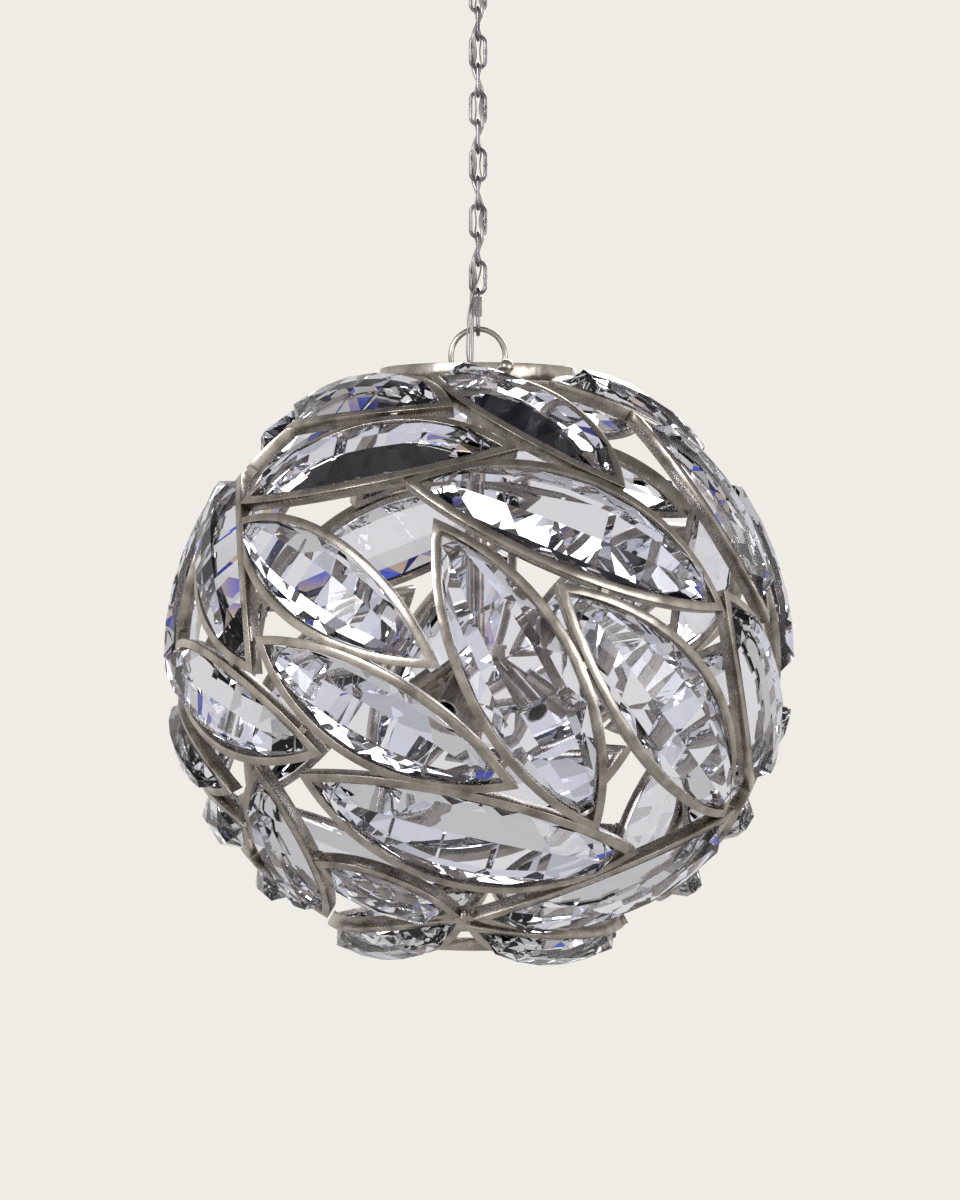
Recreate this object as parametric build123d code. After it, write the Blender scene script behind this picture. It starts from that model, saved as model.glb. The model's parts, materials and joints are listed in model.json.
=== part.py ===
"""Orb chandelier: leaf-shaped bar frames round a sphere, each holding one long faceted crystal, hung on a chain.

Millimetres, +Z up. The origin is on the ceiling face of the canopy, straight above the middle of the orb, and the
orb hangs below it. Azimuth 0 is the front, -Y, and grows towards +X.
"""

from build123d import *
import math
import os

# ---- Orb: frames and crystals ----
frame_radius = 292.0        # outer face of the leaf frames
bar_depth = 13.0            # frame bar, towards the middle of the orb
bar_width = 8.0             # frame bar, across its edge
crystal_proud = 13.0        # crystal crest beyond the frames
crystal_back = 4.0          # crystal back behind the frames
girdle_inset = 3.0          # crystal edge behind the outer face of the frames
crystal_gap = 1.0           # frame to crystal, all round
pin_diameter = 1.6
pin_clearance = 0.2         # pin in the crystal's drilled hole, all round
pin_end_gap = 0.25          # pin's ends to the bars
cope_gap = 0.1              # between a trimmed tip and its neighbour, at the back of the bars
weld_length = 7.0           # weld metal along the bars
weld_depth = 9.0            # weld metal towards the middle of the orb
weld_reach = 8.5            # widest gap between neighbours that is bridged with weld metal
weld_least = 0.2            # narrower gaps are left as they are
ring_weld_height = 6.0

# ---- Rings at the crown and the foot ----
crown_opening = math.radians(18.986)    # from the upright to the ring's outside, seen from the middle of the orb
foot_opening = math.radians(16.925)
crown_ring_rise = 5.9       # top edge above the outer face of the frames there
foot_ring_rise = 8.4        # bottom edge above the outer face of the frames there
crown_ring_radius = frame_radius * math.sin(crown_opening)                      # outside
foot_ring_radius = frame_radius * math.sin(foot_opening)                        # outside
crown_ring_top = frame_radius * math.cos(crown_opening) + crown_ring_rise       # above the middle of the orb
foot_ring_bottom = frame_radius * math.cos(foot_opening) - foot_ring_rise       # below the middle of the orb
ring_wall = 5.0
crown_ring_height = 16.0
foot_ring_height = 12.0

# ---- Strap, loop and stem in the orb ----
strap_width = 16.0
strap_thickness = 4.0
strap_least_drop = 12.0     # top of the strap under the top of the crown ring, at least
strap_turn = 15.5           # degrees from straight front to back
ball_screw_thread = 5.0
ball_screw_hole = 5.4
ball_screw_head = 13.6
ball_screw_below = 4.5      # under the top edge of the crown ring
screw_nut_across = 8.0
screw_nut_height = 4.0
hoop_height = 295.3         # middle of the hanging hoop above the middle of the orb
hoop_radius = 26.25         # middle of its wire
hoop_wire = 5.5
hoop_boss_radius = 8.0
hoop_boss_height = 9.0
hoop_stud_length = 12.0     # below the strap, in the stem. It also fills what is open between boss and strap
stem_diameter = 13.0
stem_bore = 8.0
stem_clearance = 0.2        # stud in the stem, all round
stem_foot = 0.0             # lower end of the stem above the middle of the orb

# ---- Lamp cluster ----
hub_radius = 26.0
hub_top = 10.0
hub_waist = -44.0           # where the hub starts to narrow
hub_bottom = -68.0
hub_foot_radius = 9.0
hub_wall = 3.0
hub_cap_radius = 27.5
hub_cap_height = 4.0
hub_neck_radius = 10.0
hub_neck_height = 8.0
lamp_count = 6
lamp_first = -21.0          # azimuth of the lamp nearest the front
lamp_tilt = 35.0            # degrees below level
arm_diameter = 10.0
arm_bore = 6.0
arm_start_height = -3.0     # where the arms leave the hub
arm_length = 22.0
socket_diameter = 22.0
socket_length = 50.0
socket_wall = 1.2
socket_floor = 2.0
liner_clearance = 0.3       # liner in the socket, all round
liner_rim = 2.0             # liner behind the socket's edge
socket_seat = 24.0          # depth of the lamp seat in its liner
socket_bore = 14.0          # candelabra thread seat
finial_radius = 7.0
finial_height = -86.0
finial_neck_radius = 3.5

# ---- Chain, quick link and cord ----
chain_wire = 3.6
chain_inner_width = 10.6
chain_inner_length = 27.6
chain_play = 0.3            # between wires that bear on each other
link_count = 11
quick_wire = 4.2
quick_inner_width = 12.0
quick_inner_length = 39.4
quick_gap = 4.4             # opening that the barrel nut covers
nut_across = 6.4
nut_length = 19.0
nut_travel = 6.7
nut_clearance = 0.3         # nut round the wire, all round
cord_diameter = 4.6
cord_clearance = 0.3
ground_diameter = 1.6
cord_corner = 1.1           # how far the cord rounds off a corner where two links cross
cord_link_corner = 0.8      # and inside a link
ground_corner = 0.7
ground_in_link = 1.2        # ground wire's offset inside a link
beside_nut = 1.5            # extra room beside the quick link, for its nut
beside_hoop = 0.25          # extra room in front of the hoop
swing_gap = 4.0             # parting of cord and ground wire at each swing
hub_cord_x = -8.2           # where the cord enters the hub cap
hub_cord_y = -14.5
ground_hole = 2.4           # in the strap
ground_hole_place = 24.0    # along the strap

# ---- Canopy ----
canopy_radius = 64.0
canopy_height = 28.0
canopy_wall = 1.2
canopy_lip = 4.0            # straight edge against the ceiling
canopy_flat_radius = 22.0
loop_radius = 17.0          # canopy loop, middle of its wire
loop_wire = 4.5
loop_boss_radius = 7.5
loop_boss_height = 12.0
nipple_diameter = 10.0
nipple_bore = 7.8
nipple_clearance = 0.3      # nipple in the canopy's hole, all round
collar_radius = 13.0
collar_height = 7.0
crossbar_length = 104.0
crossbar_width = 18.0
crossbar_thickness = 2.5
box_screw_spacing = 88.9    # the two holes over a ceiling box
box_screw_hole = 4.6
ground_screw_place = 26.0   # from the middle of the crossbar
ground_screw_diameter = 3.6
ground_screw_head = 7.0
ground_screw_length = 8.0

# Angles that each kind of leaf takes up, seen from the middle of the orb: half its length and half its width.
LEAF_SIZES = {
    "long": (33.0, 10.6),
    "medium": (28.5, 8.8),
    "short": (24.0, 8.8),
    "small": (19.0, 8.2),
    "slim": (23.5, 6.4),
    "tiny": (14.0, 6.2),
}

# One row per leaf: name, azimuth and elevation of its middle, tilt of its length from level, kind.
SINGLE_LEAVES = [
    ("crown_left", -51, 60, 5, "short"),
    ("crown_right", 79, 56, -40, "short"),
    ("crown_rear_left", -112, 59, -43, "short"),
    ("crown_rear_right", 135, 60, 0, "small"),
]
# These have a twin half a turn round the orb, in the same file.
PAIRED_LEAVES = [
    ("crown_front", 16, 54, -53, "short"),
    ("shoulder_left", -29, 42, 13, "medium"),
    ("shoulder_front", 21, 26, -24, "long"),
    ("shoulder_right", 66, 31, -78, "short"),
    ("flank_left", -63, 20, -47, "medium"),
    ("flank_right", 87, 17, -86, "short"),
    ("belly_left", -31, 15, -30, "medium"),
    ("belly_front", 8, -2, -62, "long"),
    ("belly_right", 38, -8, -44, "long"),
    ("waist_front", -19, -9, -29, "medium"),
    ("waist_left", -57, -7, -20, "medium"),
    ("waist_right", 66, -6, -55, "short"),
    ("skirt_front", -2, -33, -16, "long"),
    ("skirt_right", 42, -46, 29, "medium"),
    ("skirt_left", -51, -37, -103, "small"),
    ("hip_left", -82, -16, -24, "slim"),
    ("seam_left", -82, -32, -4, "small"),
    ("inset_front", -25, -46, -30, "tiny"),
    ("inset_left", -86, -47, -5, "tiny"),
    ("foot_left", -41, -64, 14, "slim"),
    ("foot_right", 39, -67, -10, "slim"),
]

# ---- Worked out from the sizes above ----
frame_inner_radius = frame_radius - bar_depth
frame_middle_radius = frame_radius - bar_depth / 2
crest_radius = frame_radius + crystal_proud
back_radius = frame_inner_radius - crystal_back
bar_angle = math.degrees(bar_width / frame_radius)
gap_angle = math.degrees(crystal_gap / frame_radius)
pin_end_angle = math.degrees(pin_end_gap / frame_radius)

# Heights from the ceiling down. "wire" is the middle of a wire.
collar_top = -canopy_height
loop_boss_top = collar_top - collar_height
loop_middle = loop_boss_top - loop_boss_height - loop_radius + loop_wire
loop_bottom_wire = loop_middle - loop_radius
chain_pitch = chain_inner_length - chain_play
link_reach = (chain_inner_length + chain_wire) / 2
top_link_middle = loop_bottom_wire + loop_wire / 2 + chain_play - chain_inner_length / 2
bottom_link_middle = top_link_middle - (link_count - 1) * chain_pitch
quick_top_wire = bottom_link_middle - chain_inner_length / 2 + chain_play + quick_wire / 2
quick_middle = quick_top_wire - (quick_inner_length + quick_wire) / 2
quick_bottom_wire = quick_middle - (quick_inner_length + quick_wire) / 2
hoop_top_wire = quick_bottom_wire + quick_wire / 2 + chain_play + hoop_wire / 2
hoop_middle = hoop_top_wire - hoop_radius
orb_middle = hoop_middle - hoop_height
orb_origin = Vector(0, 0, orb_middle)


def at_orb(height):
    """Height above the middle of the orb, as a place in the part's own frame."""
    return orb_middle + height


def direction(azimuth, elevation):
    a, e = math.radians(azimuth), math.radians(elevation)
    return Vector(math.sin(a) * math.cos(e), -math.cos(a) * math.cos(e), math.sin(e))


def leaf_location(azimuth, elevation, tilt):
    """Turns a leaf made round +Z, its length along X, to its place on the orb."""
    a, t = math.radians(azimuth), math.radians(tilt)
    out = direction(azimuth, elevation)
    east = Vector(math.cos(a), math.sin(a), 0)
    north = out.cross(east)
    along = east * math.cos(t) + north * math.sin(t)
    return Plane(origin=orb_origin, x_dir=along, z_dir=out).location


def leaf_arc(half_length, half_width):
    """The two circles on the sphere that bound a leaf: how far their poles lie off its middle, and their radius."""
    length, width = math.radians(half_length), math.radians(half_width)
    offset = math.atan2(math.cos(width) - math.cos(length), math.sin(width))
    return math.degrees(offset), math.degrees(offset) + half_width


def half_width_at(offset, radius, along):
    """Half the width of the leaf, in degrees, at an angle along its length."""
    d, r, s = math.radians(offset), math.radians(radius), math.radians(along)
    a, b = math.cos(d) * math.cos(s), math.sin(d)
    return math.degrees(math.acos(math.cos(r) / math.hypot(a, b)) - math.atan2(b, a))


def half_length_of(offset, radius):
    return math.degrees(math.acos(math.cos(math.radians(radius)) / math.cos(math.radians(offset))))


def spun_lens(offset, section):
    """The leaf-shaped solid whose cross-section is given, as distance from the circle's pole line and height."""
    face = Face(Wire.make_polygon([(r, 0, z) for r, z in section], close=True))
    ring = Rot(offset, 0, 0) * revolve(face, Axis.Z, 360)
    side = 5 * frame_radius
    half = ring & (Pos(0, side / 2, 0) * Box(side, side, side))
    return half + mirror(half, about=Plane.XZ)


def polar(radius, angle, outward=0.0):
    """A point of the cross-section, moved out across the bar by a little."""
    a = math.radians(angle)
    return radius * math.sin(a) + outward * math.cos(a), radius * math.cos(a) - outward * math.sin(a)


def leaf_frame(size):
    offset, radius = leaf_arc(*LEAF_SIZES[size])
    inner = radius - bar_angle
    return spun_lens(
        offset,
        [
            polar(frame_inner_radius, inner),
            polar(frame_radius, inner),
            polar(frame_radius, radius),
            polar(frame_inner_radius, radius),
        ],
    )


def leaf_plug(size, inset=0.0):
    """All that lies inside a leaf's outline, for trimming what meets it. It is cope_gap wider at the bars' backs, and
    just as wide at their fronts."""
    offset, radius = leaf_arc(*LEAF_SIZES[size])
    angle = radius - inset
    low, high = 0.75 * frame_inner_radius, 1.2 * frame_radius
    slope = cope_gap / bar_depth
    return spun_lens(
        offset,
        [
            (0, low),
            (0, high),
            polar(high, angle, slope * (frame_radius - high)),
            polar(low, angle, slope * (frame_radius - low)),
        ],
    )


def leaf_point(along, across, radius):
    s, t = math.radians(along), math.radians(across)
    return Vector(
        radius * math.cos(t) * math.sin(s),
        radius * math.sin(t),
        radius * math.cos(t) * math.cos(s),
    )


def flat_face(*corners):
    return Face(Wire.make_polygon(corners, close=True))


def crown_faces(girdle, table_stations, table_share, girdle_radius, table_radius, widths):
    """The facets on one side of the crystal: flats along the middle, and triangles down to the edge."""
    faces = []
    ends = len(girdle) - 1
    table = []
    for place in table_stations:
        across = table_share * widths(place)
        table.append((leaf_point(place, across, table_radius), leaf_point(place, -across, table_radius)))
    edge = [
        (leaf_point(s, widths(s), girdle_radius), leaf_point(s, -widths(s), girdle_radius)) for s in girdle
    ]
    for first, second in zip(table, table[1:]):
        faces.append(flat_face(first[0], second[0], second[1], first[1]))
    for side in (0, 1):
        for i in range(ends):
            faces.append(flat_face(edge[i][side], edge[i + 1][side], table[i][side]))
        for i in range(1, ends):
            faces.append(flat_face(table[i - 1][side], table[i][side], edge[i][side]))
    for end, row in ((0, 0), (-1, -1)):
        faces.append(flat_face(edge[end][0], edge[end][1], table[row][1], table[row][0]))
    return faces


def crystal(size):
    """One long faceted crystal with a drilled hole near each tip."""
    offset, outer = leaf_arc(*LEAF_SIZES[size])
    radius = outer - bar_angle - gap_angle
    reach = half_length_of(offset, radius)
    steps = 2 if size in ("small", "tiny") else 3
    tip_share = 0.93
    girdle = [tip_share * reach * i / steps for i in range(-steps, steps + 1)]
    table = [(a + b) / 2 for a, b in zip(girdle, girdle[1:])]

    def widths(along):
        return half_width_at(offset, radius, along)

    front = frame_radius - girdle_inset
    back = frame_inner_radius + girdle_inset / 3
    faces = crown_faces(girdle, table, 0.40, front, crest_radius, widths)
    faces += crown_faces(girdle, table, 0.62, back, back_radius, widths)
    outline = [(s, widths(s)) for s in girdle] + [(s, -widths(s)) for s in reversed(girdle)]
    for (s1, t1), (s2, t2) in zip(outline, outline[1:] + outline[:1]):
        faces.append(
            flat_face(
                leaf_point(s1, t1, front), leaf_point(s2, t2, front), leaf_point(s2, t2, back), leaf_point(s1, t1, back)
            )
        )
    solid = Solid(Shell(faces))
    for place in pin_places(size):
        solid -= pin_bar(place, pin_diameter + 2 * pin_clearance)
    return solid


def pin_places(size):
    offset, outer = leaf_arc(*LEAF_SIZES[size])
    reach = half_length_of(offset, outer - bar_angle)
    return (-0.84 * reach, 0.84 * reach)


def pin_bar(along, diameter):
    """A round bar across the leaf, through the middle of the frame's depth."""
    middle = leaf_point(along, 0, frame_radius - bar_depth / 2)
    return Plane(origin=middle, z_dir=(0, 1, 0)) * Cylinder(diameter / 2, 60)


def crystal_pins(size):
    inside = leaf_plug(size, bar_angle + pin_end_angle)
    return [pin_bar(place, pin_diameter) & inside for place in pin_places(size)]


class Leaf:
    """One leaf in its place on the orb, with the two circles on the sphere that bound it."""

    def __init__(self, name, azimuth, elevation, tilt, size):
        self.name = name
        self.size = size
        self.place = leaf_location(azimuth, elevation, tilt)
        self.middle = direction(azimuth, elevation)
        offset, self.radius = leaf_arc(*LEAF_SIZES[size])
        plane = Plane(self.place)
        self.along, self.across = plane.x_dir, plane.y_dir
        shift = math.radians(offset)
        self.poles = [self.middle * math.cos(shift) - self.across * (side * math.sin(shift)) for side in (1, -1)]
        self.outline = []
        reach = half_length_of(offset, self.radius)
        for i in range(-60, 61):
            share = math.sin(math.pi / 2 * i / 60) * 0.9999
            width = half_width_at(offset, self.radius, share * reach)
            for side in (1, -1):
                local = leaf_point(share * reach, side * width, 1.0)
                point = self.along * local.X + self.across * local.Y + self.middle * local.Z
                self.outline.append((point, abs(share)))

    def depth(self, point):
        """How deep a direction lies inside the leaf, in degrees. Outside, it is below zero."""
        return min(
            self.radius - math.degrees(math.acos(max(-1.0, min(1.0, pole.dot(point))))) for pole in self.poles
        )

    def deepest(self, other):
        """Where this leaf's outline comes deepest into another leaf, or nearest to it: depth, place, share of reach."""
        return max(((other.depth(point), point, share) for point, share in self.outline), key=lambda found: found[0])


def orb_shape(shape):
    """Moves what was made round the middle of the orb to its place."""
    return Pos(0, 0, orb_middle) * shape


def meeting(first, second):
    """How two leaves meet. It returns the depth, the place, and whether the first one's tip is the nearer."""
    a, b = first.deepest(second), second.deepest(first)
    nearest = a if a[0] > b[0] else b
    return nearest[0], nearest[1], a[2] > b[2]


def weld_between(first, second, place, gap, near, plugs):
    """Weld metal in the gap between two leaves."""
    pole = min((second if second.depth(place) < 0 else first).poles, key=lambda p: p.dot(place))
    towards = (pole - place * pole.dot(place)).normalized()
    middle = (place + towards * math.radians(gap / 2)).normalized()
    bead = Plane(origin=orb_origin + middle * frame_middle_radius, x_dir=towards, z_dir=middle) * Box(
        math.radians(gap) * frame_radius + bar_width, weld_length, weld_depth
    )
    for leaf in near:
        bead -= plugs[leaf.size].moved(leaf.place)
    return bead


def save(name, shapes):
    """Writes one node. Its solids stay separate."""
    solids = []
    for shape in shapes if isinstance(shapes, (list, tuple)) else [shapes]:
        solids += list(shape.solids())
    node = solids[0] if len(solids) == 1 else Compound(children=solids)
    export_step(node, f"parts/{name}.step")


def tube(outer, inner, height):
    """A plain tube standing on the XY plane."""
    body = Pos(0, 0, height / 2) * Cylinder(outer / 2, height)
    return body - Pos(0, 0, height / 2) * Cylinder(inner / 2, height + 1)


def rod(diameter, low, high):
    return Pos(0, 0, (low + high) / 2) * Cylinder(diameter / 2, high - low)


def wire_link(inner_length, inner_width, wire):
    """A long link of round wire, standing in the XZ plane with its middle at the origin."""
    bend = (inner_width + wire) / 2
    leg = inner_length - inner_width
    section = Pos(bend, 0, leg / 2) * Circle(wire / 2)
    arch = revolve(section, Axis((0, 0, leg / 2), (0, -1, 0)), 180)
    link = arch + mirror(arch, about=Plane.XY)
    for side in (1, -1):
        link += Pos(side * bend, 0, 0) * Cylinder(wire / 2, leg)
    return link


def cord_run(points, diameter, name):
    """A cord along straight runs joined by arcs, with its ends square to its route."""
    radii = []
    for before, corner, after in zip(points, points[1:], points[2:]):
        first = Vector(*corner) - Vector(*before)
        second = Vector(*after) - Vector(*corner)
        half_turn = math.radians(first.get_angle(second)) / 2
        radii.append(0.45 * min(first.length, second.length) / math.tan(half_turn))
    route = FilletPolyline(*points, radius=radii) if radii else Polyline(*points)
    wire = Wire(route.edges())
    start = Vector(*points[1]) - Vector(*points[0])
    cord = sweep(Plane(origin=points[0], z_dir=start) * Circle(diameter / 2), path=wire)
    expected = math.pi * diameter ** 2 / 4 * wire.length
    print(name, "length", round(wire.length, 1), "smallest radius", round(min(radii), 1) if radii else "-",
          "volume over section by length", round(cord.volume / expected, 4))
    return cord


# ---- Leaves ----
os.makedirs("parts", exist_ok=True)
singles = [Leaf(*row) for row in SINGLE_LEAVES]
pairs = [Leaf(*row) for row in PAIRED_LEAVES]
twins = [Leaf(name, azimuth + 180, *rest) for name, azimuth, *rest in PAIRED_LEAVES]
leaves = singles + pairs + twins

frames_by_size = {size: leaf_frame(size) for size in LEAF_SIZES}
plugs = {size: leaf_plug(size) for size in LEAF_SIZES}
crystals_by_size = {size: crystal(size) for size in LEAF_SIZES}
pins_by_size = {size: crystal_pins(size) for size in LEAF_SIZES}
pin_stops = {size: leaf_plug(size, -pin_end_angle) for size in LEAF_SIZES}

crown_ring_bottom = crown_ring_top - crown_ring_height
foot_ring_top = foot_ring_height - foot_ring_bottom
crown_disc = orb_shape(rod(2 * crown_ring_radius, crown_ring_bottom - bar_depth, crown_ring_top + bar_depth))
foot_disc = orb_shape(rod(2 * foot_ring_radius, -foot_ring_bottom - bar_depth, foot_ring_top + bar_depth))

# A leaf whose tip runs into a neighbour is trimmed to it. Two that lie just apart are bridged with weld metal.
trims = {leaf: [] for leaf in leaves}
welds = []
touch = math.degrees(weld_least / frame_radius)
for i, first in enumerate(leaves):
    for second in leaves[i + 1:]:
        span = LEAF_SIZES[first.size][0] + LEAF_SIZES[second.size][0] + 2
        if math.degrees(math.acos(max(-1.0, min(1.0, first.middle.dot(second.middle))))) > span:
            continue
        depth, place, first_is_tip = meeting(first, second)
        if depth > 0:
            trims[first if first_is_tip else second].append(second if first_is_tip else first)
        elif touch < -depth < math.degrees(weld_reach / frame_radius):
            near = [leaf for leaf in leaves if leaf.depth(place) > -2 * bar_angle]
            welds.append(weld_between(first, second, place, -depth, near, plugs))

frames = {}
for leaf in leaves:
    frame = frames_by_size[leaf.size].moved(leaf.place)
    for other in trims[leaf]:
        frame -= plugs[other.size].moved(other.place)
    if leaf.middle.Z > 0.7:
        frame -= crown_disc
    if leaf.middle.Z < -0.7:
        frame -= foot_disc
    frames[leaf] = max(frame.solids(), key=lambda solid: solid.volume)

for ring_radius, ring_low, disc, upward in (
    (crown_ring_radius, crown_ring_bottom, crown_disc, 1),
    (foot_ring_radius, foot_ring_top - ring_weld_height - 1, foot_disc, -1),
):
    for leaf in leaves:
        tip = max((point for point, share in leaf.outline), key=lambda p: p.Z * upward)
        reach = frame_middle_radius * math.hypot(tip.X, tip.Y) - ring_radius
        if tip.Z * upward < 0.8 or reach < weld_least or reach > weld_reach:
            continue
        out = Vector(tip.X, tip.Y, 0).normalized()
        height = ring_low + 1 + ring_weld_height / 2
        lug = Plane(origin=orb_origin + out * (ring_radius + reach / 2) + Vector(0, 0, height), x_dir=out) * Box(
            reach + bar_width, weld_length, ring_weld_height
        )
        lug -= disc
        for other in leaves:
            if other.depth(tip) > -2 * bar_angle:
                lug -= plugs[other.size].moved(other.place)
        welds.append(lug)

for leaf in singles:
    save(f"leaf_{leaf.name}", frames[leaf])
for leaf, twin in zip(pairs, twins):
    save(f"leaf_{leaf.name}", [frames[leaf], frames[twin]])
for size in LEAF_SIZES:
    save(f"crystals_{size}", [crystals_by_size[size].moved(leaf.place) for leaf in leaves if leaf.size == size])
pins = []
for leaf in leaves:
    for pin in pins_by_size[leaf.size]:
        pin = pin.moved(leaf.place)
        for other in trims[leaf]:
            pin -= pin_stops[other.size].moved(other.place)
        pins.append(max(pin.solids(), key=lambda solid: solid.volume))
save("crystal_pins", pins)
beads = [solid for weld in welds for solid in weld.solids() if solid.volume > 1.0]
print("weld beads", len(beads), "leaves", len(leaves))
save("weld_beads", beads)

# ---- Rings, strap, hoop and stem ----
screw_height = crown_ring_top - ball_screw_below
crown_inner = crown_ring_radius - ring_wall
strap_out = math.sqrt(crown_inner ** 2 - (strap_width / 2) ** 2)
boss_bottom = hoop_height - hoop_radius - hoop_boss_height
strap_top = min(boss_bottom, crown_ring_top - strap_least_drop)
strap_bottom = strap_top - strap_thickness
along_strap = Rot(0, 0, strap_turn - 90)
screw_bore = Pos(0, 0, screw_height) * (Rot(0, 90, 0) * Cylinder(ball_screw_hole / 2, 3 * crown_ring_radius))

crown_ring = Pos(0, 0, crown_ring_bottom) * tube(2 * crown_ring_radius, 2 * crown_inner, crown_ring_height)
save("crown_ring", orb_shape(crown_ring - along_strap * screw_bore))
foot_ring = Pos(0, 0, -foot_ring_bottom) * tube(
    2 * foot_ring_radius, 2 * (foot_ring_radius - ring_wall), foot_ring_height
)
save("foot_ring", orb_shape(foot_ring))

strap = Pos(0, 0, (strap_top + strap_bottom) / 2) * Box(2 * strap_out, strap_width, strap_thickness)
for side in (1, -1):
    tab_height = crown_ring_top - strap_bottom
    strap += Pos(side * (strap_out - strap_thickness / 2), 0, strap_bottom + tab_height / 2) * Box(
        strap_thickness, strap_width, tab_height
    )
strap -= screw_bore
strap -= rod(stem_bore, strap_bottom - 1, strap_top + 1)
strap -= Pos(ground_hole_place, 0, 0) * rod(ground_hole, strap_bottom - 1, strap_top + 1)
save("crown_strap", orb_shape(along_strap * strap))

screws = []
for side in (1, -1):
    head = Sphere(ball_screw_head / 2) - Pos(-ball_screw_head / 2, 0, 0) * Box(4.0, 20, 20)
    seat = ball_screw_head / 2 - 2.0
    shank_length = ring_wall + strap_thickness + screw_nut_height + seat + 2.5
    shank = Rot(0, 90, 0) * Cylinder(ball_screw_thread / 2, shank_length)
    screw = head + Pos(-shank_length / 2, 0, 0) * shank
    nut = Rot(0, -90, 0) * extrude(RegularPolygon(screw_nut_across / 2, 6, major_radius=False), screw_nut_height)
    nut -= Rot(0, 90, 0) * Cylinder(ball_screw_thread / 2, 30)
    place = along_strap * Rot(0, 0, 0 if side > 0 else 180)
    screws.append(place * Pos(crown_ring_radius + seat, 0, screw_height) * screw)
    screws.append(place * Pos(strap_out - strap_thickness, 0, screw_height) * nut)
save("ball_screws", [orb_shape(screw) for screw in screws])

hoop = Pos(0, 0, hoop_height) * (Rot(90, 0, 0) * Torus(hoop_radius, hoop_wire / 2))
hoop += rod(2 * hoop_boss_radius, boss_bottom, hoop_height - hoop_radius)
hoop += rod(stem_bore - 2 * stem_clearance, strap_bottom - hoop_stud_length, boss_bottom)
save("hanging_hoop", orb_shape(hoop))
save("stem", orb_shape(Pos(0, 0, stem_foot) * tube(stem_diameter, stem_bore, strap_bottom - stem_foot)))

# ---- Lamp cluster ----
with_wall = [
    (0, hub_bottom),
    (hub_foot_radius, hub_bottom),
    (hub_radius - 4, (hub_bottom + hub_waist) / 2),
    (hub_radius, hub_waist),
    (hub_radius, hub_top),
    (hub_radius - hub_wall, hub_top),
    (hub_radius - hub_wall, hub_waist + hub_wall),
    (hub_foot_radius, hub_bottom + 2 * hub_wall),
    (0, hub_bottom + 2 * hub_wall),
]
hub = revolve(Face(Wire.make_polygon([(r, 0, z) for r, z in with_wall], close=True)), Axis.Z, 360)
hub_outside = rod(2 * hub_radius, hub_bottom, hub_top)
save("hub", orb_shape(hub))
cap = rod(2 * hub_cap_radius, hub_top, hub_top + hub_cap_height)
cap += rod(2 * hub_neck_radius, hub_top + hub_cap_height, hub_top + hub_cap_height + hub_neck_height)
cap -= rod(stem_diameter, hub_top - 1, hub_top + 30)
cap -= Pos(hub_cord_x, hub_cord_y, hub_top) * Cylinder(cord_diameter / 2 + cord_clearance, 20)
save("hub_cap", orb_shape(cap))

arms, sockets, liners = [], [], []
run_start = hub_radius / math.cos(math.radians(lamp_tilt))
for i in range(lamp_count):
    azimuth = lamp_first + 360 / lamp_count * i
    axis = direction(azimuth, -lamp_tilt)
    origin = orb_origin + Vector(0, 0, arm_start_height) + direction(azimuth, 0) * hub_radius
    line = Plane(origin=origin, z_dir=axis)
    arm = line * (Pos(0, 0, -arm_diameter) * tube(arm_diameter, arm_bore, arm_length + arm_diameter))
    arms.append(arm - orb_shape(hub_outside))
    shell = Pos(0, 0, arm_length) * tube(socket_diameter, socket_diameter - 2 * socket_wall, socket_length)
    shell += Pos(0, 0, arm_length) * tube(socket_diameter, arm_bore, socket_floor)
    sockets.append(line * shell)
    liner_length = socket_length - socket_floor - liner_rim
    liner = Pos(0, 0, arm_length + socket_floor) * tube(
        socket_diameter - 2 * socket_wall - 2 * liner_clearance, arm_bore, liner_length
    )
    liner -= rod(socket_bore, arm_length + socket_floor + liner_length - socket_seat, arm_length + socket_length + 1)
    liners.append(line * liner)
save("lamp_arms", arms)
save("lamp_sockets", sockets)
save("socket_liners", liners)
finial = Pos(0, 0, finial_height) * Sphere(finial_radius) + rod(2 * finial_neck_radius, finial_height, hub_bottom)
save("finial", orb_shape(finial))

# ---- Chain and quick link ----
flat_link = wire_link(chain_inner_length, chain_inner_width, chain_wire)
face_links, edge_links = [], []
for i in range(link_count):
    height = top_link_middle - i * chain_pitch
    if i % 2 == 0:
        face_links.append(Pos(0, 0, height) * flat_link)
    else:
        edge_links.append(Pos(0, 0, height) * Rot(0, 0, 90) * flat_link)
save("chain_links_facing", face_links)
save("chain_links_edgewise", edge_links)

quick_leg = (quick_inner_width + quick_wire) / 2
nut_high = (quick_inner_length - quick_inner_width) / 2 - 0.1
gap_low = nut_high - nut_travel + 0.1
quick_link = Rot(0, 0, -90) * wire_link(quick_inner_length, quick_inner_width, quick_wire)
quick_link -= Pos(0, -quick_leg, gap_low + quick_gap / 2) * Box(2 * quick_wire, 2 * quick_wire, quick_gap)
save("quick_link", Pos(0, 0, quick_middle) * quick_link)
nut = extrude(RegularPolygon(nut_across / 2, 6, major_radius=False), nut_length)
nut -= rod(quick_wire + 2 * nut_clearance, -1, nut_length + 1)
save("quick_link_nut", Pos(0, -quick_leg, quick_middle + nut_high - nut_length) * nut)

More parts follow.
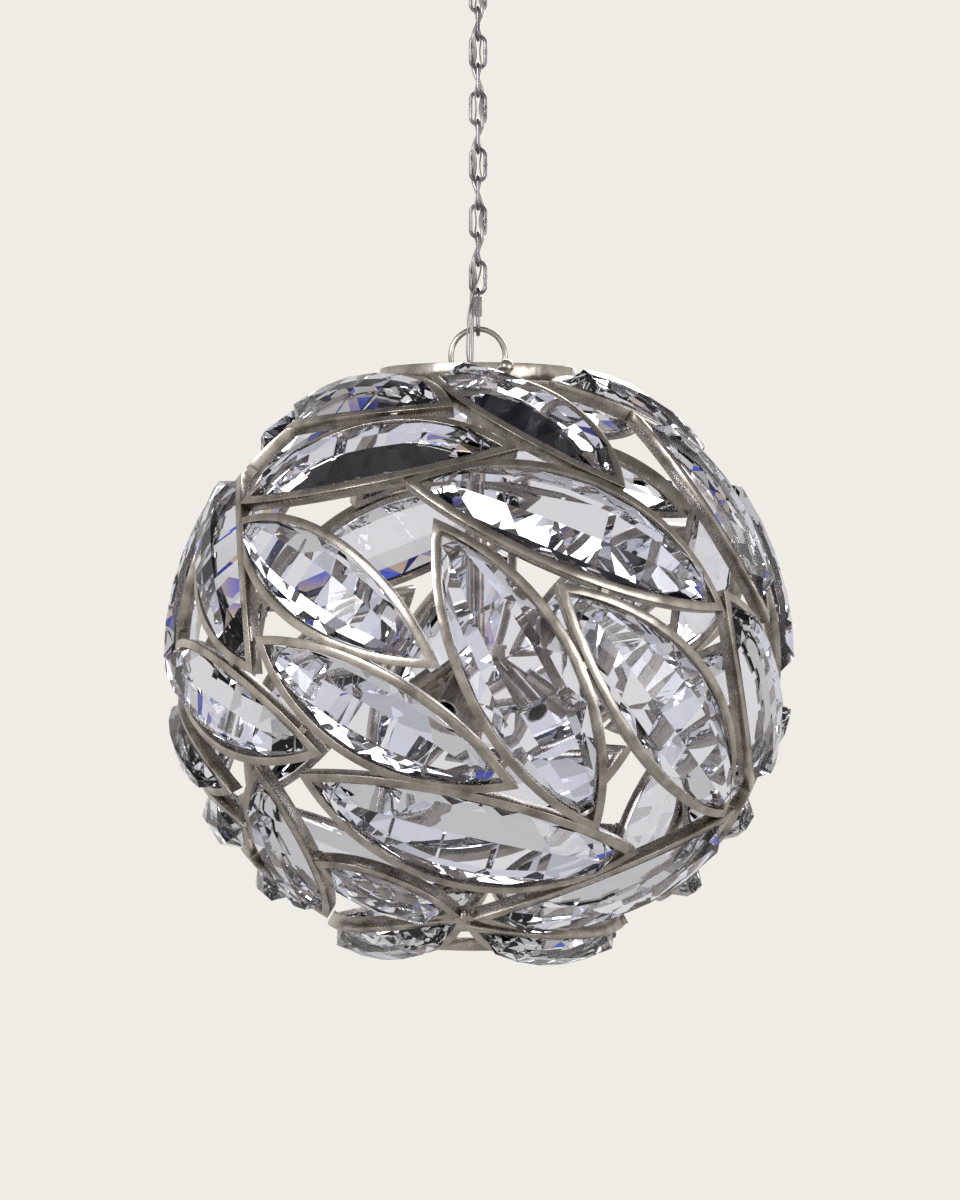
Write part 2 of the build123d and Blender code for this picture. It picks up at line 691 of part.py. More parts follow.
# ---- Canopy ----
canopy_outline = [
    (0, -canopy_height),
    (canopy_flat_radius, -canopy_height),
    (canopy_radius * 0.72, -canopy_height * 0.72),
    (canopy_radius * 0.93, -canopy_height * 0.42),
    (canopy_radius, -canopy_lip),
    (canopy_radius, 0),
    (canopy_radius - canopy_wall, 0),
    (canopy_radius - canopy_wall, -canopy_lip),
    (canopy_radius * 0.93 - canopy_wall, -canopy_height * 0.42 + canopy_wall / 2),
    (canopy_radius * 0.72 - canopy_wall / 2, -canopy_height * 0.72 + canopy_wall),
    (canopy_flat_radius, -canopy_height + canopy_wall),
    (0, -canopy_height + canopy_wall),
]
canopy = revolve(Face(Wire.make_polygon([(r, 0, z) for r, z in canopy_outline], close=True)), Axis.Z, 360)
canopy -= rod(nipple_diameter + 2 * nipple_clearance, -canopy_height - 1, -canopy_height + 5)
save("canopy", canopy)

collar = tube(2 * collar_radius, nipple_diameter, collar_height)
save("canopy_collar", Pos(0, 0, loop_boss_top) * collar)
loop = Pos(0, 0, loop_middle) * (Rot(0, 90, 0) * Torus(loop_radius, loop_wire / 2))
loop += rod(2 * loop_boss_radius, loop_boss_top - loop_boss_height, loop_boss_top)
loop += rod(nipple_diameter, loop_boss_top, -0.2)
loop -= rod(nipple_bore, loop_middle + loop_radius / 2, 1)
save("canopy_loop", loop)

crossbar = Pos(0, 0, -crossbar_thickness / 2) * Box(crossbar_length, crossbar_width, crossbar_thickness)
crossbar -= rod(nipple_diameter, -5, 1)
for side in (1, -1):
    crossbar -= Pos(side * box_screw_spacing / 2, 0, 0) * Cylinder(box_screw_hole / 2, 10)
crossbar -= Pos(ground_screw_place, 0, 0) * Cylinder(ground_screw_diameter / 2, 10)
save("crossbar", crossbar)
ground_screw = rod(ground_screw_diameter, -crossbar_thickness - ground_screw_length / 2, -0.2)
ground_screw += rod(
    ground_screw_head, -crossbar_thickness - ground_screw_length / 2, -crossbar_thickness - ground_screw_length / 2 + 2.2
)
save("ground_screw", Pos(ground_screw_place, 0, 0) * ground_screw)

# ---- Cord and ground wire: one stretch on each body that swings ----
half_gap = swing_gap / 2
at_wires = (chain_wire + cord_diameter) / 2 + cord_clearance + cord_corner
in_link = (chain_inner_width - cord_diameter) / 2 - cord_clearance - cord_link_corner
ground_at_wires = (chain_wire + ground_diameter) / 2 + cord_clearance + ground_corner
quick_x = (quick_wire + cord_diameter) / 2 + cord_clearance + beside_nut
hoop_y = (hoop_wire + cord_diameter) / 2 + cord_clearance + beside_hoop
ground_x = quick_x + (cord_diameter + ground_diameter) / 2 + 2 * cord_clearance
bore_side = (nipple_bore - cord_diameter) / 2 - 2 * cord_clearance
ground_bore_side = (nipple_bore - ground_diameter) / 2 - 2 * cord_clearance


def weave(at_crossings, inside, turn):
    """The route through the chain, from the top link to the bottom one, passing each link's window in turn."""
    points = []
    side_x, side_y = turn, turn
    for i in range(link_count):
        height = top_link_middle - i * chain_pitch
        if i == 0:
            height -= chain_pitch / 8
        if i % 2 == 0:
            points.append((side_x * inside, 0, height))
            side_y = -side_y
        else:
            points.append((0, side_y * inside, height))
            side_x = -side_x
        if i < link_count - 1:
            points.append((side_x * at_crossings, side_y * at_crossings, top_link_middle - (i + 0.5) * chain_pitch))
    return points


loop_floor = loop_bottom_wire + half_gap
cord_top = [
    (bore_side, 0, -0.3),
    (bore_side + 0.3, 0, -25),
    (bore_side, 0, loop_middle + 0.55 * loop_radius),
    (at_wires - 0.3, at_wires - 0.3, loop_floor + 8),
    (at_wires - 0.3, at_wires - 0.3, loop_floor),
]
save("supply_cord_canopy", cord_run(cord_top, cord_diameter, "supply_cord_canopy"))
cord_chain = [(at_wires - 0.3, at_wires - 0.3, loop_bottom_wire - half_gap)]
cord_chain += weave(at_wires, in_link, 1)
crossing_height = (quick_top_wire + bottom_link_middle - link_reach) / 2
cord_chain += [
    (-at_wires - 0.3, at_wires + 0.7, crossing_height),
    (-quick_x, -hoop_y, hoop_top_wire + half_gap + 12),
    (-quick_x, -hoop_y, hoop_top_wire + half_gap),
]
save("supply_cord_chain", cord_run(cord_chain, cord_diameter, "supply_cord_chain"))
cord_drop = strap_bottom - hub_top
cord_orb = [
    (-quick_x, -hoop_y, hoop_top_wire - half_gap),
    (-quick_x - 0.4, -hoop_y - 0.8, hoop_middle - 5),
    (-8.4, -13.6, at_orb(strap_bottom)),
    (-9.2, -15.2, at_orb(hub_top + 0.74 * cord_drop)),
    (-8.0, -14.0, at_orb(hub_top + 0.46 * cord_drop)),
    (-8.8, -15.0, at_orb(hub_top + 0.2 * cord_drop)),
    (hub_cord_x, hub_cord_y, at_orb(hub_top - 3)),
]
save("supply_cord_orb", cord_run(cord_orb, cord_diameter, "supply_cord_orb"))

ground_top = [
    (-ground_bore_side, 0, -0.3),
    (-ground_bore_side + 0.2, 0, -25),
    (-ground_bore_side, 0, loop_middle + 0.55 * loop_radius),
    (-ground_at_wires, -ground_at_wires, loop_floor + 8),
    (-ground_at_wires, -ground_at_wires, loop_floor),
]
save("ground_wire_canopy", cord_run(ground_top, ground_diameter, "ground_wire_canopy"))
ground_chain = [(-ground_at_wires, -ground_at_wires, loop_bottom_wire - half_gap)]
ground_chain += weave(ground_at_wires, ground_in_link, -1)
ground_chain += [
    (-ground_at_wires - 0.6, -ground_at_wires - 0.4, crossing_height),
    (-ground_x, -hoop_y - 0.8, hoop_top_wire + half_gap + 12),
    (-ground_x, -hoop_y, hoop_top_wire + half_gap),
]
save("ground_wire_chain", cord_run(ground_chain, ground_diameter, "ground_wire_chain"))
turn = math.radians(strap_turn)
ground_hole_x, ground_hole_y = ground_hole_place * math.sin(turn), -ground_hole_place * math.cos(turn)
ground_orb = [
    (-ground_x, -hoop_y, hoop_top_wire - half_gap),
    (-ground_x - 1.6, -hoop_y - 3, hoop_middle),
    (-6.5, -18, at_orb(strap_top + 17)),
    (ground_hole_x, ground_hole_y, at_orb(strap_top + 8)),
    (ground_hole_x, ground_hole_y, at_orb(strap_bottom - 3)),
]
save("ground_wire_orb", cord_run(ground_orb, ground_diameter, "ground_wire_orb"))
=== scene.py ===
"""Orb chandelier in antique silver plate and clear cut crystal, dressed over the CAD frame.

Metres, in the CAD frame: +Z up, the origin on the ceiling, the viewer towards -Y. Cord routes and turned profiles
are in millimetres, and are multiplied by MM where they are used.
"""

import json
import math

import bpy
from mathutils import Matrix, Vector


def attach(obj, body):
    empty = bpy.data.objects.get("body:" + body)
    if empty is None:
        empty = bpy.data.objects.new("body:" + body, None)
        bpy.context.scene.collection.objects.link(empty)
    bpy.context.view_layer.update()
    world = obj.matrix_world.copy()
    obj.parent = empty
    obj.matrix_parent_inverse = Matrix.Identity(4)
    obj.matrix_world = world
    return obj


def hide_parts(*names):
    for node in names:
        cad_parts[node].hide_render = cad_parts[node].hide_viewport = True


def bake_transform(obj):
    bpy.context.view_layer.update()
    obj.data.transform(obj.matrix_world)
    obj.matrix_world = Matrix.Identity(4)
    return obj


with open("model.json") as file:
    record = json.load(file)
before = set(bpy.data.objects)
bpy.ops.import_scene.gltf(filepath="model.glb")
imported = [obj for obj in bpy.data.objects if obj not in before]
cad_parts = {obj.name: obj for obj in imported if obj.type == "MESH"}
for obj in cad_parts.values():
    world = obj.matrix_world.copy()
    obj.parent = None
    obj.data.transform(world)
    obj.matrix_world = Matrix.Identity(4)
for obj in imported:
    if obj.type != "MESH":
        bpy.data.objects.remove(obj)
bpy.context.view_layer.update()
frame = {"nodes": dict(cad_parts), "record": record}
nodes = frame["nodes"]

MM = 0.001
ORB_MIDDLE = -0.73215       # height of the middle of the orb
CEILING_HEIGHT = 2.6

# ---- Camera: level, almost straight in front ----
PHOTO_LONG_SIDE = 1200
FOCAL_PIXELS = 2994
SENSOR_WIDTH = 36.0
CAMERA_DISTANCE = 2.9
CAMERA_ABOVE_ORB = 0.059
CAMERA_RIGHT = 0.0019
camera_data = bpy.data.cameras.new("camera")
camera_data.sensor_width = SENSOR_WIDTH
camera_data.lens = SENSOR_WIDTH * FOCAL_PIXELS / PHOTO_LONG_SIDE
camera = bpy.data.objects.new("camera", camera_data)
camera.location = (CAMERA_RIGHT, -CAMERA_DISTANCE, ORB_MIDDLE + CAMERA_ABOVE_ORB)
camera.rotation_euler = (math.pi / 2, 0, 0)
bpy.context.scene.collection.objects.link(camera)
bpy.context.scene.camera = camera
bpy.context.scene.view_settings.view_transform = "Standard"


def choose(*objects):
    """Leaves only these objects selected, the first one active."""
    bpy.ops.object.select_all(action="DESELECT")
    for item in objects:
        item.select_set(True)
    bpy.context.view_layer.objects.active = objects[0]


# ---- Cord and ground wire ----
CORD_DIAMETER = 4.6 * MM
GROUND_DIAMETER = 1.6 * MM
TOP_LINK = -87.75           # middle of the top chain link, mm
LINK_PITCH = 27.3           # mm
LINKS = 11
SPLIT = 16                  # control point after which the upper stretch ends


def weave(at_crossings, inside, side):
    """Control points through the chain, in millimetres, passing each link's window in turn."""
    points = []
    side_x = side_y = side
    for i in range(LINKS):
        height = TOP_LINK - i * LINK_PITCH - (LINK_PITCH / 8 if i == 0 else 0)
        if i % 2 == 0:
            points.append((side_x * inside, 0, height))
            side_y = -side_y
        else:
            points.append((0, side_y * inside, height))
            side_x = -side_x
        if i < LINKS - 1:
            crossing = TOP_LINK - (i + 0.5) * LINK_PITCH
            points.append((side_x * at_crossings, side_y * at_crossings, crossing))
    return points


# Each goes from the crossbar down the canopy loop's shank, through the links, past the quick link and the hoop. The
# supply cord goes on to the hub cap, and the ground wire ends at its hole in the strap.
supply_route = [(1.0, 0, -0.3), (1.3, 0, -25), (1.0, 0, -50.1), (5.2, 5.2, -66.5), (5.2, 5.2, -74.5)]
supply_route += weave(5.5, 1.9, 1)
supply_route += [
    (-5.8, 6.2, -374.2),
    (-6.2, -5.6, -396.6),
    (-6.2, -5.6, -408.0),
    (-6.6, -6.4, -441.8),
    (-8.4, -13.6, -476.1),
    (-9.2, -15.2, -540.1),
    (-8.0, -14.0, -609.0),
    (-8.8, -15.0, -672.9),
    (-8.2, -14.5, -725.15),
]
ground_route = [(-2.5, 0, -0.3), (-2.3, 0, -25), (-2.5, 0, -50.1), (-3.6, -3.6, -66.5), (-3.6, -3.6, -74.5)]
ground_route += weave(3.6, 1.2, -1)
ground_route += [
    (-4.2, -4.0, -374.2),
    (-9.9, -6.4, -396.6),
    (-9.9, -5.6, -410.0),
    (-11.5, -8.6, -436.9),
    (-6.5, -18, -455.1),
    (6.4, -23.1, -464.1),
    (6.4, -23.1, -479.1),
]


def smooth_line(points):
    """The smooth curve that these control points lead, as an object."""
    data = bpy.data.curves.new("route", "CURVE")
    data.dimensions = "3D"
    data.resolution_u = 12
    spline = data.splines.new("NURBS")
    spline.points.add(len(points) - 1)
    for target, point in zip(spline.points, points):
        target.co = (point[0] * MM, point[1] * MM, point[2] * MM, 1)
    spline.order_u = 3
    spline.use_endpoint_u = True
    line = bpy.data.objects.new("route", data)
    bpy.context.scene.collection.objects.link(line)
    return line


def line_points(line):
    """The points that the smooth line passes, in order."""
    line.data.bevel_depth = 0
    bpy.context.view_layer.update()
    mesh = bpy.data.meshes.new_from_object(line.evaluated_get(bpy.context.evaluated_depsgraph_get()))
    points = [tuple(vertex.co) for vertex in mesh.vertices]
    bpy.data.meshes.remove(mesh)
    return points


def tube_on(name, points, diameter):
    """A round cord on its smooth line, as a mesh with closed ends, and the points that it follows."""
    line = smooth_line(points)
    path = line_points(line)
    line.data.bevel_depth = diameter / 2
    line.data.bevel_resolution = 4
    line.data.use_fill_caps = True
    choose(line)
    bpy.ops.object.convert(target="MESH")
    tube = bpy.context.view_layer.objects.active
    tube.name = tube.data.name = name
    bpy.ops.object.shade_smooth_by_angle(angle=math.radians(50))
    return tube, path


def line_length(path):
    return sum((Vector(b) - Vector(a)).length for a, b in zip(path, path[1:]))


cords = {}
for kind, route, diameter, upper_nodes, lower_nodes in (
    (
        "supply_cord", supply_route, CORD_DIAMETER,
        ("supply_cord_canopy",), ("supply_cord_chain", "supply_cord_orb"),
    ),
    (
        "ground_wire", ground_route, GROUND_DIAMETER,
        ("ground_wire_canopy",), ("ground_wire_chain", "ground_wire_orb"),
    ),
):
    joint = tuple((a + b) / 2 for a, b in zip(route[SPLIT], route[SPLIT + 1]))
    upper, upper_path = tube_on(f"{kind}_upper", route[: SPLIT + 1] + [joint], diameter)
    lower, lower_path = tube_on(f"{kind}_lower", [joint] + route[SPLIT + 1:], diameter)
    print(kind, "upper", round(line_length(upper_path), 4), "lower", round(line_length(lower_path), 4))
    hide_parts(*upper_nodes)
    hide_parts(*lower_nodes)
    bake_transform(upper)
    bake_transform(lower)
    cords[kind] = (upper, lower)


# ---- Materials ----
PATINA_SIZE = 25 * MM       # across one cloud of patina
RUB_SIZE = 1.5 * MM         # across the marks of rubbing
EDGE_WEAR_AND_HIGHLIGHT_RADIUS = 0.5 * MM      # how far the pale edge, part wear and part painted highlight, reaches in from an edge
UNEVEN_SIZE = 2 * MM        # across the unevenness of a plain finish
RELIEF = 0.1 * MM           # its height


def linear(hex_colour):
    """An sRGB hex colour as the linear values that a shader takes, opaque."""
    channels = [int(hex_colour[i: i + 2], 16) / 255 for i in (1, 3, 5)]
    return tuple(c / 12.92 if c <= 0.04045 else ((c + 0.055) / 1.055) ** 2.4 for c in channels) + (1.0,)


def add(tree, kind, inputs=None, **settings):
    """Adds one node. Inputs are values or the sockets that feed it."""
    made = tree.nodes.new(kind)
    for name, value in settings.items():
        setattr(made, name, value)
    for name, value in (inputs or {}).items():
        if isinstance(value, bpy.types.NodeSocket):
            tree.links.new(value, made.inputs[name])
        else:
            made.inputs[name].default_value = value
    return made


def new_material(name):
    material = bpy.data.materials.new(name)
    material.use_nodes = True
    tree = material.node_tree
    tree.nodes.clear()
    output = tree.nodes.new("ShaderNodeOutputMaterial")
    return material, tree, output


def plated_metal(name, light, middle, dark, roughness, edge="#E9E3DA"):
    """Plate rubbed back by hand: clouds of patina, fine rub marks, and bright worn edges whose pale colour is partly
    a painted highlight.
    """
    material, tree, output = new_material(name)
    place = add(tree, "ShaderNodeTexCoord").outputs["Object"]
    clouds = add(
        tree, "ShaderNodeTexNoise", {"Vector": place, "Scale": 1 / PATINA_SIZE, "Detail": 4.0, "Roughness": 0.6}
    )
    grain = add(
        tree, "ShaderNodeTexNoise", {"Vector": place, "Scale": 1 / RUB_SIZE, "Detail": 3.0, "Roughness": 0.65}
    )
    ramp = add(tree, "ShaderNodeValToRGB", {"Fac": clouds.outputs["Fac"]})
    tones = ramp.color_ramp.elements
    tones[0].position, tones[0].color = 0.30, linear(dark)
    tones[1].position, tones[1].color = 0.66, linear(light)
    tones.new(0.46).color = linear(middle)
    # Pale colour along every edge: partly rubbed wear, partly a painted highlight.
    rounded = add(tree, "ShaderNodeBevel", {"Radius": EDGE_WEAR_AND_HIGHLIGHT_RADIUS}, samples=4)
    plain = add(tree, "ShaderNodeNewGeometry")
    match = add(
        tree, "ShaderNodeVectorMath", {0: rounded.outputs["Normal"], 1: plain.outputs["Normal"]},
        operation="DOT_PRODUCT",
    )
    worn_and_highlit_edges = add(
        tree, "ShaderNodeMapRange",
        {"Value": match.outputs["Value"], "From Min": 0.99, "From Max": 0.86, "To Min": 0.0, "To Max": 0.9},
    )
    colour = add(
        tree, "ShaderNodeMix", {"Factor": worn_and_highlit_edges.outputs["Result"], 6: ramp.outputs["Color"], 7: linear(edge)},
        data_type="RGBA",
    )
    rough = add(
        tree, "ShaderNodeMapRange",
        {
            "Value": grain.outputs["Fac"], "From Min": 0.3, "From Max": 0.7,
            "To Min": roughness - 0.06, "To Max": roughness + 0.1,
        },
    )
    bump = add(
        tree, "ShaderNodeBump",
        {
            "Height": grain.outputs["Fac"], "Strength": 0.12, "Distance": RELIEF,
            "Normal": rounded.outputs["Normal"],
        },
    )
    shader = add(
        tree, "ShaderNodeBsdfPrincipled",
        {
            "Base Color": colour.outputs[2], "Metallic": 1.0, "Roughness": rough.outputs["Result"],
            "Normal": bump.outputs["Normal"],
        },
    )
    tree.links.new(shader.outputs["BSDF"], output.inputs["Surface"])
    return material


def cut_crystal(name):
    """Cut crystal with polished facets: clear, a little grey-violet."""
    material, tree, output = new_material(name)
    shader = add(
        tree, "ShaderNodeBsdfPrincipled",
        {"Base Color": linear("#F2F4FF"), "Roughness": 0.0, "IOR": 1.45, "Transmission Weight": 1.0},
    )
    tree.links.new(shader.outputs["BSDF"], output.inputs["Surface"])
    return material


def plain_finish(name, hex_colour, roughness, metallic=0.0, coat=0.0):
    """One colour with a faint unevenness of the surface."""
    material, tree, output = new_material(name)
    place = add(tree, "ShaderNodeTexCoord").outputs["Object"]
    grain = add(tree, "ShaderNodeTexNoise", {"Vector": place, "Scale": 1 / UNEVEN_SIZE, "Detail": 2.0})
    bump = add(tree, "ShaderNodeBump", {"Height": grain.outputs["Fac"], "Strength": 0.15, "Distance": RELIEF})
    shader = add(
        tree, "ShaderNodeBsdfPrincipled",
        {
            "Base Color": linear(hex_colour), "Metallic": metallic, "Roughness": roughness,
            "Coat Weight": coat, "Normal": bump.outputs["Normal"],
        },
    )
    tree.links.new(shader.outputs["BSDF"], output.inputs["Surface"])
    return material


# Soft grey-brown silver with pale edges, partly worn and partly a painted highlight: the frames read as old and
# hand-rubbed.
frame_silver = plated_metal("antique_silver_plate", "#C4BDB5", "#A9A29B", "#857E77", 0.26)
# Browner and duller, and darker as painted shade, so that the lamp cluster stays back inside the orb.
pewter_and_painted_shade = plated_metal("warm_pewter_with_painted_shade", "#B3ABA3", "#988F87", "#6F675F", 0.3)
# The brightest metal, on the hoop, the ball screws and the sockets' lips, which catch the light.
bright_silver = plated_metal("polished_silver_plate", "#CFCAC4", "#B9B3AC", "#8E8780", 0.18)
# Clear glass that shows the pale wall through it, broken up by the facets.
crystal_clear = cut_crystal("clear_cut_crystal")
# Cool dark grey with glints painted as pale colour along the worn edges, so that the links stand out against the
# wall.
chain_nickel = plated_metal("dark_antique_nickel", "#99959A", "#7E7B7F", "#5C595D", 0.22, edge="#CFCBCB")
# Small bright lines at the crystals' ends.
pin_steel = plain_finish("drawn_steel_wire", "#BEBBB6", 0.25, metallic=1.0)
# Matte near-black, which makes each socket's mouth look deep.
phenolic = plain_finish("dark_phenolic", "#2A2726", 0.5)
# Plain hardware behind the canopy.
zinc = plain_finish("zinc_plate", "#B9BABB", 0.35, metallic=1.0)
# The green that marks a grounding screw.
green_brass = plain_finish("green_plated_brass", "#3F6B45", 0.35, metallic=1.0)
# Glossy jackets, the silver of the wire showing through.
cord_jacket = plain_finish("clear_silver_cord_jacket", "#A39F9E", 0.25, metallic=0.35, coat=0.6)
wire_jacket = plain_finish("tinned_copper_in_clear_jacket", "#8F8A87", 0.3, metallic=0.5, coat=0.4)
by_slot = {
    "frame_metal": frame_silver,
    "crystal": crystal_clear,
    "pin_steel": pin_steel,
    "lamp_metal": pewter_and_painted_shade,
    "liner": phenolic,
    "bright_metal": bright_silver,
    "canopy_metal": frame_silver,
    "zinc_plate": zinc,
    "green_screw": green_brass,
    "cord_jacket": cord_jacket,
    "ground_jacket": wire_jacket,
}


def dress(item, material):
    item.data.materials.clear()
    item.data.materials.append(material)


for part in frame["record"]["subparts"]:
    dress(nodes[part["node"]], by_slot[part["material_slot"]])
for name in ("chain_links_facing", "chain_links_edgewise", "quick_link", "quick_link_nut"):
    dress(nodes[name], chain_nickel)
for kind, material in (("supply_cord", cord_jacket), ("ground_wire", wire_jacket)):
    for piece in cords[kind]:
        dress(piece, material)


# ---- Pieces of the scene's own ----
def turned(name, place, rings):
    """A turned piece round an upright axis: a circle drawn through (radius, height) in mm, back to its start."""
    start = (place[0], place[1], place[2] + rings[0][1] * MM)
    bpy.ops.object.select_all(action="DESELECT")
    bpy.ops.mesh.primitive_circle_add(
        vertices=40, radius=rings[0][0] * MM, location=start, fill_type="NOTHING"
    )
    piece = bpy.context.view_layer.objects.active
    piece.name = piece.data.name = name
    bpy.ops.object.mode_set(mode="EDIT")
    bpy.ops.mesh.select_all(action="SELECT")
    for (radius, height), (next_radius, next_height) in zip(rings, rings[1:] + rings[:1]):
        rise = (next_height - height) * MM
        bpy.ops.mesh.extrude_region_move(TRANSFORM_OT_translate={"value": (0, 0, rise)})
        grow = next_radius / radius
        bpy.ops.transform.resize(value=(grow, grow, 1), center_override=place)
    bpy.ops.mesh.select_all(action="SELECT")
    bpy.ops.mesh.remove_doubles(threshold=0.01 * MM)
    bpy.ops.mesh.normals_make_consistent(inside=False)
    bpy.ops.object.mode_set(mode="OBJECT")
    bpy.ops.object.transform_apply(location=True, rotation=True, scale=True)
    bpy.ops.object.shade_smooth_by_angle(angle=math.radians(35))
    return piece


def copy_of(piece, name, move):
    """A copy with its own mesh, moved there."""
    twin = piece.copy()
    twin.data = piece.data.copy()
    twin.name = twin.data.name = name
    twin.data.transform(move)
    bpy.context.scene.collection.objects.link(twin)
    return twin


# The rolled lips of the lamp sockets. The first is turned upright at the origin, tilted as a socket is, moved to the
# socket's mouth, turned to the first lamp and lowered to the middle of the orb. Lengths in mm, angles in degrees.
HUB_RADIUS = 26.0
ARM_HEIGHT = -3.0           # where the arms leave the hub, above the middle of the orb
ARM_LENGTH = 22.0
SOCKET_LENGTH = 50.0
SOCKET_RADIUS = 11.0
LAMP_FIRST = -21.0          # azimuth of the lamp nearest the front
LAMP_TILT = 35.0            # below level
LAMPS = 6
lip_profile = [
    (SOCKET_RADIUS - 1.1, -1.2),
    (SOCKET_RADIUS + 0.1, -1.2),
    (SOCKET_RADIUS + 0.8, -0.7),
    (SOCKET_RADIUS + 1.0, 0.1),
    (SOCKET_RADIUS + 0.7, 0.9),
    (SOCKET_RADIUS - 0.1, 1.3),
    (SOCKET_RADIUS - 0.9, 0.9),
    (SOCKET_RADIUS - 1.2, 0.1),
]
lip = turned("socket_lip_1", (0, 0, 0), lip_profile)
tilt = Matrix.Rotation(math.radians(90 + LAMP_TILT), 4, "X")
out_along = Vector((0, -math.cos(math.radians(LAMP_TILT)), -math.sin(math.radians(LAMP_TILT))))
mouth = Vector((0, -HUB_RADIUS, ARM_HEIGHT)) + out_along * (ARM_LENGTH + SOCKET_LENGTH)
to_first_lamp = Matrix.Rotation(math.radians(LAMP_FIRST), 4, "Z")
to_orb = Matrix.Translation((0, 0, ORB_MIDDLE))
lip.data.transform(to_orb @ to_first_lamp @ Matrix.Translation(mouth * MM) @ tilt)
lips = [lip]
for i in range(1, LAMPS):
    lips.append(copy_of(lip, f"socket_lip_{i + 1}", Matrix.Rotation(math.tau * i / LAMPS, 4, "Z")))
for piece in lips:
    dress(piece, bright_silver)
    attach(piece, "orb")

# The tapered bushing where the cord goes into the hub cap.
CAP_TOP = 14.0              # above the middle of the orb, mm
bushing = turned(
    "cord_bushing", (-8.2 * MM, -14.5 * MM, ORB_MIDDLE + CAP_TOP * MM),
    [(2.4, 0), (5.4, 0), (5.6, 0.6), (5.5, 2.2), (4.6, 2.9), (4.1, 8.0), (3.3, 20.0), (2.9, 21.0), (2.4, 21.0)],
)
dress(bushing, phenolic)
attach(bushing, "orb")

# The butt-weld seams of the chain links, one leg of each.
LINK_INNER_WIDTH = 10.6     # mm
LINK_WIRE = 3.6             # mm
LEG_PLACE = (LINK_INNER_WIDTH + LINK_WIRE) / 2 * MM
seam = turned(
    "chain_seam_1", (LEG_PLACE, 0, TOP_LINK * MM),
    [(1.5, -1.9), (1.8, -1.9), (2.0, -1.2), (2.12, 0), (2.0, 1.2), (1.8, 1.9), (1.5, 1.9)],
)
seams = [seam]
for i in range(1, LINKS):
    turn = Matrix.Rotation(math.pi / 2 if i % 2 else 0, 4, "Z")
    drop = Matrix.Translation((0, 0, -i * LINK_PITCH * MM))
    seams.append(copy_of(seam, f"chain_seam_{i + 1}", drop @ turn))
for piece in seams:
    dress(piece, chain_nickel)
    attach(piece, "chain")

# The bars' edges are eased by filing, which draws the bright line along them. Doubled corners are joined first.
for name, node in nodes.items():
    if name.startswith("leaf_") or name in ("crown_ring", "foot_ring", "crown_strap"):
        weld = node.modifiers.new("weld", "WELD")
        weld.merge_threshold = 0.02 * MM
        ease = node.modifiers.new("ease", "BEVEL")
        ease.width = 0.35 * MM
        ease.segments = 2
        ease.limit_method = "ANGLE"
        ease.angle_limit = math.radians(40)
        ease.harden_normals = True

# ---- Floor, backdrop and light ----
BACKDROP = "#EFECE6"
FLOOR_SIZE = 14
FLOOR_IN_MIRRORS = -0.35    # how much less of the floor the metal mirrors
SOFT_STRENGTH = 0.75        # the room's own light on the object
ROOF_STARTS, ROOF_FULL = 0.15, 0.75     # upward part of the direction where the mirrored roof darkens
ROOF_LEFT = 0.3             # what is left of the wall's light there
MIRRORED_WALL = 0.9
SCREEN_SCALE = 2.3          # screens overhead, across the whole sky


def seen_rays(tree):
    """The Light Path outputs, and 1 for rays from the camera, off metal or through crystal."""
    rays = add(tree, "ShaderNodeLightPath").outputs
    seen = add(
        tree, "ShaderNodeMath", {0: rays["Is Camera Ray"], 1: rays["Is Glossy Ray"]}, operation="ADD"
    )
    seen = add(
        tree, "ShaderNodeMath", {0: seen.outputs[0], 1: rays["Is Transmission Ray"]},
        operation="ADD", use_clamp=True,
    )
    return rays, seen.outputs[0]


bpy.ops.object.select_all(action="DESELECT")
bpy.ops.mesh.primitive_plane_add(size=FLOOR_SIZE, location=(0, 0, -CEILING_HEIGHT))
floor = bpy.context.view_layer.objects.active
floor.name = "floor"
floor_paint, tree, output = new_material("pale_floor")
rays, seen = seen_rays(tree)
matte = add(tree, "ShaderNodeBsdfDiffuse", {"Color": linear(BACKDROP)})
dimmed = add(
    tree, "ShaderNodeMath", {0: rays["Is Glossy Ray"], 1: FLOOR_IN_MIRRORS, 2: 1.0}, operation="MULTIPLY_ADD"
)
glow = add(tree, "ShaderNodeEmission", {"Color": linear(BACKDROP), "Strength": dimmed.outputs[0]})
mixed = add(tree, "ShaderNodeMixShader", {"Fac": seen, 1: matte.outputs[0], 2: glow.outputs[0]})
tree.links.new(mixed.outputs[0], output.inputs["Surface"])
dress(floor, floor_paint)

world = bpy.data.worlds.new("studio")
bpy.context.scene.world = world
world.use_nodes = True
tree = world.node_tree
tree.nodes.clear()
output = tree.nodes.new("ShaderNodeOutputWorld")
rays, seen = seen_rays(tree)
soft = add(tree, "ShaderNodeBackground", {"Color": linear("#F3F1ED"), "Strength": SOFT_STRENGTH})
way = add(tree, "ShaderNodeTexCoord").outputs["Generated"]
height = add(tree, "ShaderNodeSeparateXYZ", {0: way}).outputs["Z"]
# What the metal mirrors: the pale wall all round, and a dark studio roof above.
roof = add(
    tree, "ShaderNodeMapRange",
    {"Value": height, "From Min": ROOF_STARTS, "From Max": ROOF_FULL, "To Min": 1.0, "To Max": ROOF_LEFT},
)
mirrored = add(tree, "ShaderNodeMath", {0: roof.outputs[0], 1: MIRRORED_WALL}, operation="MULTIPLY")
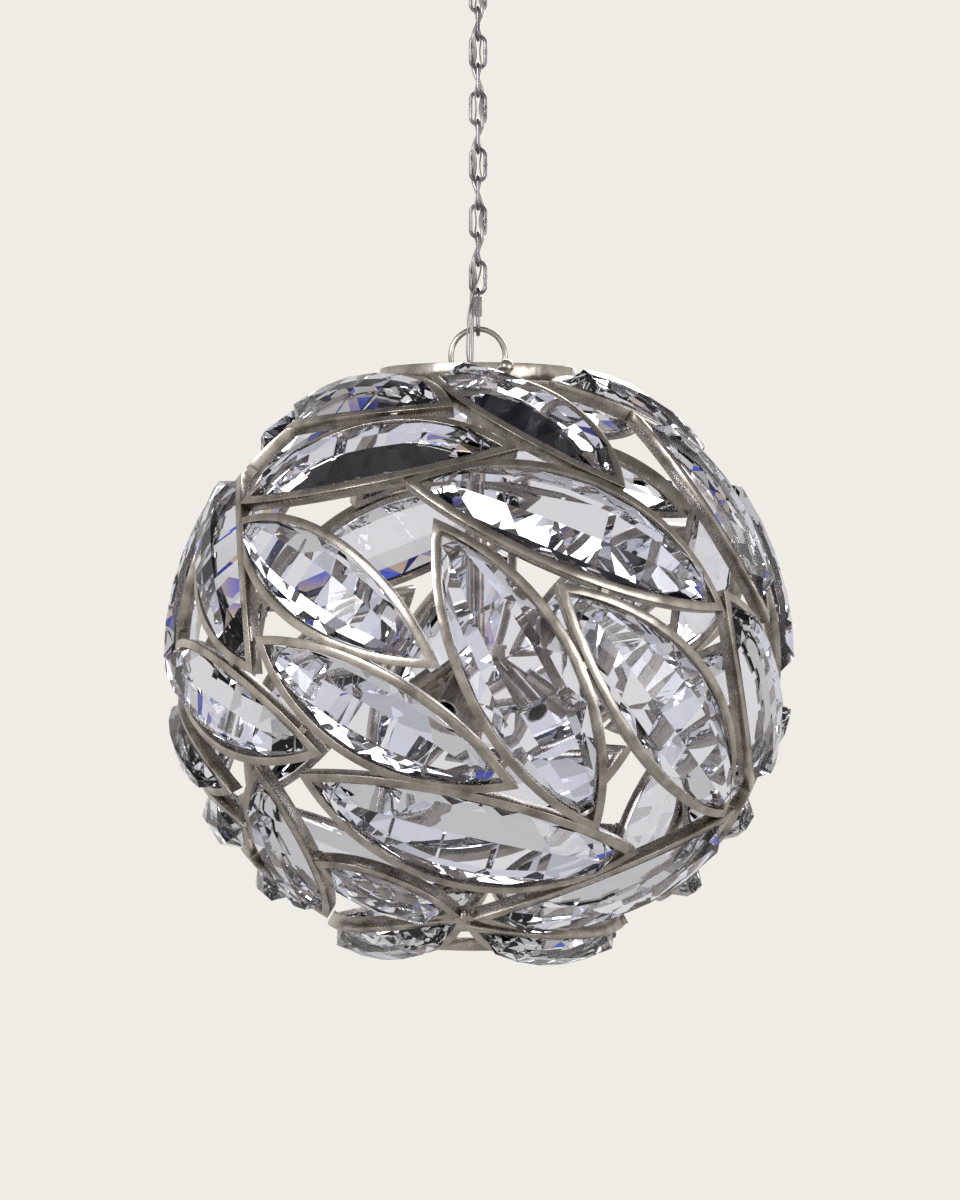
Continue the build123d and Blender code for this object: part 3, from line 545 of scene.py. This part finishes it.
# What the crystals bend into view: the wall, and dark blue gaps between the studio's white screens overhead, with
# orange and blue edges painted round each gap in place of the colours that glass splits off there.
screens = add(
    tree, "ShaderNodeTexVoronoi", {"Vector": way, "Scale": SCREEN_SCALE, "Randomness": 1.0},
    feature="F1", distance="CHEBYCHEV",
)
gaps = add(tree, "ShaderNodeMath", {0: screens.outputs["Distance"], 1: height}, operation="ADD")
fringe = add(tree, "ShaderNodeValToRGB", {"Fac": gaps.outputs[0]})
stops = fringe.color_ramp.elements
stops[0].position, stops[0].color = 0.0, linear(BACKDROP)
stops[1].position, stops[1].color = 1.0, linear("#10122A")
for position, hex_colour in (
    (0.84, BACKDROP), (0.865, "#E8C9A0"), (0.89, "#5F73EC"), (0.93, "#252C78"), (0.96, "#13163C"),
):
    stops.new(position).color = linear(hex_colour)
mirror_light = add(
    tree, "ShaderNodeMix", {"Factor": rays["Is Glossy Ray"], 2: 1.0, 3: mirrored.outputs[0]}, data_type="FLOAT"
)
tint = add(
    tree, "ShaderNodeMix",
    {"Factor": rays["Is Transmission Ray"], 6: linear(BACKDROP), 7: fringe.outputs["Color"]},
    data_type="RGBA",
)
wall = add(tree, "ShaderNodeBackground", {"Color": tint.outputs[2], "Strength": mirror_light.outputs[0]})
mixed = add(tree, "ShaderNodeMixShader", {"Fac": seen, 1: soft.outputs[0], 2: wall.outputs[0]})
tree.links.new(mixed.outputs[0], output.inputs["Surface"])


def soft_lamp(name, place, size, watts):
    """A square soft white lamp that looks at the middle of the orb."""
    data = bpy.data.lights.new(name, "AREA")
    data.size = size
    data.energy = watts
    lamp = bpy.data.objects.new(name, data)
    lamp.location = place
    aim = Vector((0, 0, ORB_MIDDLE)) - Vector(place)
    lamp.rotation_euler = aim.to_track_quat("-Z", "Y").to_euler()
    bpy.context.scene.collection.objects.link(lamp)


soft_lamp("key_lamp", place=(-1.8, -2.2, 0.6), size=1.2, watts=45)
soft_lamp("fill_lamp", place=(2.2, -1.8, -0.4), size=1.4, watts=20)
soft_lamp("back_lamp", place=(0.6, 2.4, 0.5), size=1.4, watts=25)
